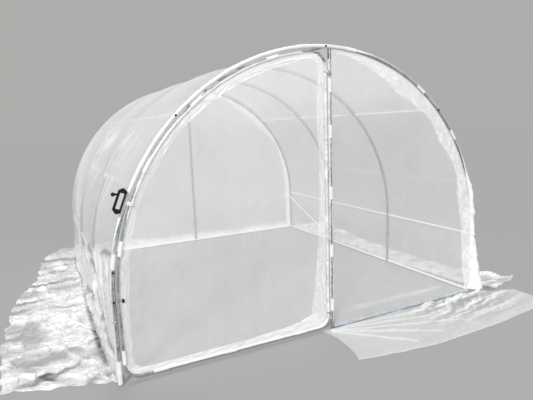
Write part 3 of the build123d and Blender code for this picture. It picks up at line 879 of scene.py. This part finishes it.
def make_hoop_wrap():
    """The cover's front edge, turned round the front hoop and held by the clips."""
    s = np.linspace(0.008, HOOP_LENGTH - 0.03, int(HOOP_LENGTH / 0.011))[:, None]
    share = columns_of(16)
    angle = arch_angle(s, HOOP)
    last = value_at(HOOP_TURN, angle) + 14 * hills(s, 0, 0.11, 201) * smooth(clip_distance(s) / 0.12)
    turn = -25 + share * (last + 25)
    free = smooth((clip_distance(s) - CLIP_HOLD) / 0.07)
    right_low = smooth((22 - angle) / 14)
    pleats = crumple(s * 0.18, share * 0.06, 0.014, 90, 16, 6, 204) * right_low
    puff = free * (0.0012 + 0.008 * right_low) * (0.7 + 0.5 * crumple(s, share * 0.04, 0.07, 15, 45, 6, 202))
    puff += free * 0.004 * (pleats + right_low)
    puff = np.maximum(puff, 0) * np.sin(math.pi * unit(share * (1.15 - 0.15 * right_low))) ** 0.7
    outer = side_bulge(s, FRONT, HOOP_LENGTH) * unit(np.cos(np.radians(turn))) ** 1.5
    x, y, z = round_tube(section(s, HOOP), turn, TUBE + WRAP_GAP + puff + outer, FRONT)
    points = grid(x, y, np.maximum(z, 0.006))
    creases = np.abs(crumple(s, share * 0.05, 0.03, 20, 40, 6, 203))
    milk = 0.38 + 0.25 * unit(creases - 0.5) + 0.25 * right_low + 0.12 * np.clip(pleats, -1, 1)
    wrap = grid_piece("hoop_wrap", points, s, share * 0.06, folded_film, milk)


def turn_in(name, table, middle, first, last, seed):
    """A strip of doubled film that runs in from behind a hoop, with a rough free edge."""
    starts, ends = along_hoop(last), along_hoop(first)
    s = rows_of(starts, ends, 0.012)
    jag = crumple(s, 0, 0.06, 0, 5, 4, seed) * 0.004 + 0.009 * hills(s, 0, 0.13, seed + 1)
    width = np.maximum(value_at(table, arch_angle(s, HOOP)) + jag, 0.006)
    share = columns_of(30)
    wound = unit(share / 0.2)
    inner = unit((share - 0.2) / 0.8)
    x, y, z = round_tube(section(s, HOOP), -75 - 80 * wound, TUBE + WRAP_GAP, middle)
    nx, nz = section(s, HOOP)[2:]
    depth = inner * width
    gathers = 0.7 * crumple(s, depth, 0.05, 10, 24, 6, seed + 2)
    gathers += 0.8 * crumple(s, depth, 0.03, 84, 14, 6, seed + 3)
    ripple = smooth(depth / 0.04) * 0.0028 * gathers
    flat_y = middle + 0.0065 + np.clip(ripple, -0.0035, 0.012)
    y = y + (flat_y - y) * smooth(inner * 4)
    points = grid(x - nx * depth, y, np.maximum(z - nz * depth, 0.01))
    milk = 0.4 * np.clip(np.abs(gathers) - 0.55, -0.5, 1) + 0.25 * smooth((inner - 0.93) / 0.07)
    milk += -0.08 if middle == FRONT else 0.22
    strip = grid_piece(name, points, s, share * 0.14, folded_film, milk)


def run(start, end, normal):
    """A straight stretch of a tube's centre line with its outward direction."""
    count = max(2, int(math.dist(start, end) / 0.012))
    x, z = np.linspace(start, end, count, endpoint=False).T
    return np.stack([x, z, 0 * x + normal[0], 0 * x + normal[1]])


def bend(centre, radius, first, last):
    """A bent stretch of a tube's centre line."""
    count = max(5, int(abs(math.radians(last - first)) * radius / 0.009))
    turn = np.radians(np.linspace(first, last, count, endpoint=False))
    nx, nz = np.cos(turn), np.sin(turn)
    return np.stack([centre[0] + radius * nx, centre[1] + radius * nz, nx, nz])


def door_ring():
    """The door's ring of tube, from its left foot over the arch and back along the ground."""
    middle, height = head_centre()
    head = 90 - math.degrees(math.asin(middle / (DOOR - HEAD_BEND)))
    low = DOOR_FOOT + FOOT_BEND
    parts = [run((-DOOR, low), (-DOOR, LEG), (-1, 0)),
             bend((0, LEG), DOOR, 180, head),
             bend((middle, height), HEAD_BEND, head, 0),
             run((STILE, height), (STILE, low), (1, 0)),
             bend((STILE - FOOT_BEND, low), FOOT_BEND, 0, -90),
             run((STILE - FOOT_BEND, DOOR_FOOT), (FOOT_BEND - DOOR, DOOR_FOOT), (0, -1)),
             bend((FOOT_BEND - DOOR, low), FOOT_BEND, -90, -180)]
    ring = np.concatenate(parts, axis=1)
    return np.concatenate([ring, ring[:, :1]], axis=1)


def rounded_off(values, reach):
    """Values round a closed ring, each made the mean of its neighbours."""
    row = values[:, 0]
    loop = np.concatenate([row[-reach - 1:-1], row, row[1:reach + 1]])
    weights = np.hanning(2 * reach + 3)[1:-1]
    return np.convolve(loop, weights / weights.sum(), "valid")[:, None]


def make_door_wrap():
    """The door's film, turned round its ring of tube from a doubled strip inside it."""
    x, z, nx, nz = [row[:, None] for row in door_ring()]
    steps = np.hypot(np.diff(x[:, 0]), np.diff(z[:, 0]))
    s = np.concatenate([[0], np.cumsum(steps)])[:, None]
    share = columns_of(44)
    on_stile = smooth((nx - 0.2) / 0.6)
    on_foot = smooth((-nz - 0.1) / 0.7)
    arch_width = 0.04 + 0.016 * hills(s, 0, 0.24, 301)
    width = arch_width + on_stile * (value_at(STILE_TURN_IN, z) - arch_width)
    foot_width = 0.036 + 0.03 * smooth((x + 0.75) / 0.75) + 0.09 * smooth((x + 0.25) / 0.25)
    width = width + on_foot * (foot_width - width) * (1 - on_stile)
    width = rounded_off(np.maximum(width + 0.004 * hills(s, 0, 0.09, 302), 0.012), 12)
    bare = smooth((1.04 - z) / 0.1) * smooth((-x - 1.25) / 0.06)
    bare = np.maximum(bare, smooth((z - 1.905) / 0.015) * smooth((x + 0.19) / 0.03))
    last = 96 + 66 * on_stile + 8 * on_foot - 4 * hills(s, 0, 0.1, 303)
    last = last * (1 - bare) + 4 * bare
    inner = unit(share / 0.5)
    wound = unit((share - 0.5) / 0.5)
    turn = 155 - wound * last * 0.95
    depth = (1 - inner) * width
    gathers = crumple(s, depth, 0.028, 90, 9, 6, 304) + 0.35 * crumple(s, depth, 0.1, 50, 34, 6, 305)
    puff = np.maximum(0.001 + 0.0008 * np.clip(gathers, -1, 2), 0) * np.sin(math.pi * wound)
    tube = round_tube((x, z, nx, nz), turn, DOOR_TUBE + WRAP_GAP + puff, FRONT)
    edge_x, edge_z = rounded_off(x - nx * width, 16), rounded_off(z - nz * width, 16)
    ripple = smooth(depth / 0.03) * 0.0026 * gathers
    flat_y = FRONT - 0.0052 - np.clip(ripple, -0.0035, 0.01)
    y = tube[1] + (flat_y - tube[1]) * smooth((1 - inner) * 4)
    flat_x, flat_z = tube[0] + (edge_x - x) * (1 - inner), tube[2] + (edge_z - z) * (1 - inner)
    points = grid(flat_x, y, flat_z)
    lines = np.clip(np.abs(gathers) - 0.5, -0.45, 1)
    on_leg = smooth((-nx - 0.6) / 0.35)
    milk = 0.04 - 0.1 * on_stile + 0.12 * on_foot + 0.3 * lines
    milk = milk + 0.18 * smooth((depth / width - 0.92) / 0.08) + 0.34 * smooth(wound * 8)
    milk -= (0.1 * on_stile + 0.32 * on_leg) * (1 - wound)
    wrap = grid_piece("door_wrap", points, s, share * 0.12, folded_film, milk, body="door")


def post_strip(name, edge, last, seed):
    """One of the two strips turned round the post, with a rough free edge."""
    low, high = 0.075, POST_TOP - 0.07
    z = rows_of(low, high, 0.011)
    share = columns_of(14)
    rough = 9 * hills(z, 0, 0.09, seed) + 5 * crumple(z, 0, 0.03, 0, 5, 4, seed + 1)
    first = value_at(edge, z) + rough
    turn = np.radians(first + share * (last - first))
    creases = crumple(z, share * 0.05, 0.05, 60, 40, 6, seed + 2)
    radius = TUBE + WRAP_GAP + np.maximum(0.0008 + 0.0008 * creases, 0) * np.sin(math.pi * share)
    points = grid(POST + radius * np.cos(turn), FRONT - radius * np.sin(turn), z)
    milk = 0.32 + 0.3 * np.clip(np.abs(creases) - 0.5, -0.3, 1)
    # Painted shade: a dark line along the strip's rough free edge
    painted_shade = 0.75 * near(share, 0.09)
    wrap = grid_piece(name, points, z, share * 0.034, folded_film, milk, painted_shade)


def turned(name, profile, origin, axis, finish, body="tunnel"):
    """A small part turned round an axis, from places along the axis and radii."""
    along, radius = [np.array(row)[:, None] for row in zip(*profile)]
    turn = np.linspace(0, 2 * math.pi, 33)[None, :]
    axis = Vector(axis)
    side = axis.orthogonal().normalized()
    other = axis.cross(side)
    parts = [origin[k] + axis[k] * along + radius * (side[k] * np.cos(turn) + other[k] * np.sin(turn))
             for k in range(3)]
    grid_piece(name, grid(*parts), along, turn * radius.max(), finishes[finish], body=body)


def make_small_parts():
    """The dark knob beside the door's leg, and the bolt and joint of the hoop's leg."""
    turned("door_knob", KNOB, (-DOOR, FRONT, KNOB_HEIGHT), (1, 0, 0), "black_plastic",
           "door")
    side = -math.sqrt(HOOP ** 2 - (BOLT_HEIGHT - LEG) ** 2)
    turned("leg_bolt", BOLT, (side, FRONT, BOLT_HEIGHT), (0, -1, 0), "bolt")
    rim = [(along, TUBE + rise) for along, rise in JOINT]
    turned("leg_joint", rim, (-HOOP, FRONT, JOINT_HEIGHT), (0, 0, 1), "zinc_fittings")


def make_floor():
    """A plain pale floor that isn't part of the object."""
    nodes = Shader(bpy.data.materials.new("floor"))
    paint = {"Base Color": FLOOR_COLOUR, "Roughness": 0.9, "Specular IOR Level": 0}
    floor = level_square("floor", 60, -0.001)
    floor.data.materials.append(nodes.finish(nodes.add("BsdfPrincipled", paint).outputs[0]))


def make_world():
    """Soft light from all round, and a plain pale backdrop beyond the floor."""
    nodes = Shader(bpy.data.worlds.new("studio"))
    light = nodes.add("Background", {"Color": SKY_COLOUR, "Strength": SKY_STRENGTH}).outputs[0]
    seen = nodes.add("Background", {"Color": BACKDROP_COLOUR}).outputs[0]
    rays = nodes.add("LightPath").outputs
    looked_at = nodes.math("MAXIMUM", rays["Is Camera Ray"], rays["Is Glossy Ray"])
    looked_at = nodes.math("MAXIMUM", looked_at, rays["Is Transmission Ray"])
    scene.world = nodes.finish(nodes.mixed(looked_at, light, seen), "OutputWorld")


def make_lamp(name, azimuth, height, spread, strength):
    """Soft even light from one side, as angles from the front and up from level."""
    data = bpy.data.lights.new(name, "SUN")
    data.angle = math.radians(spread)
    data.energy = strength
    linked(name, data).rotation_euler = (math.radians(90 - height), 0, math.radians(azimuth))


def make_camera():
    """The camera of the photograph."""
    turn = Matrix.Rotation(-YAW, 4, "Z") @ Matrix.Rotation(math.pi / 2 - PITCH, 4, "X")
    data = bpy.data.cameras.new("camera")
    data.lens = LENS
    data.sensor_width = SENSOR
    data.clip_start = 0.05
    data.clip_end = 200
    scene.camera = linked("camera", data)
    scene.camera.matrix_world = Matrix.Translation(EYE) @ turn @ Matrix.Rotation(ROLL, 4, "Z")


scene.view_settings.view_transform = "Standard"
scene.cycles.transparent_max_bounces = 24
make_camera()
dress_frame()
make_cover()
make_side_skirt(-1, LEFT_SKIRT, 41)
make_side_skirt(1, RIGHT_SKIRT, 51)
make_back_skirt()
make_apron()
make_front_film()
make_back_film()
make_door_film()
make_hoop_wrap()
turn_in("front_turn_in", FRONT_TURN_IN, FRONT, -20, 86, 210)
turn_in("back_turn_in", BACK_TURN_IN, BACK, -19, 199, 220)
make_door_wrap()
post_strip("post_wrap", POST_WRAP_EDGE, 214, 401)
post_strip("post_edge", POST_EDGE_EDGE, 8, 411)
make_small_parts()
make_floor()
make_world()
for lamp in LAMPS:
    make_lamp(*lamp)
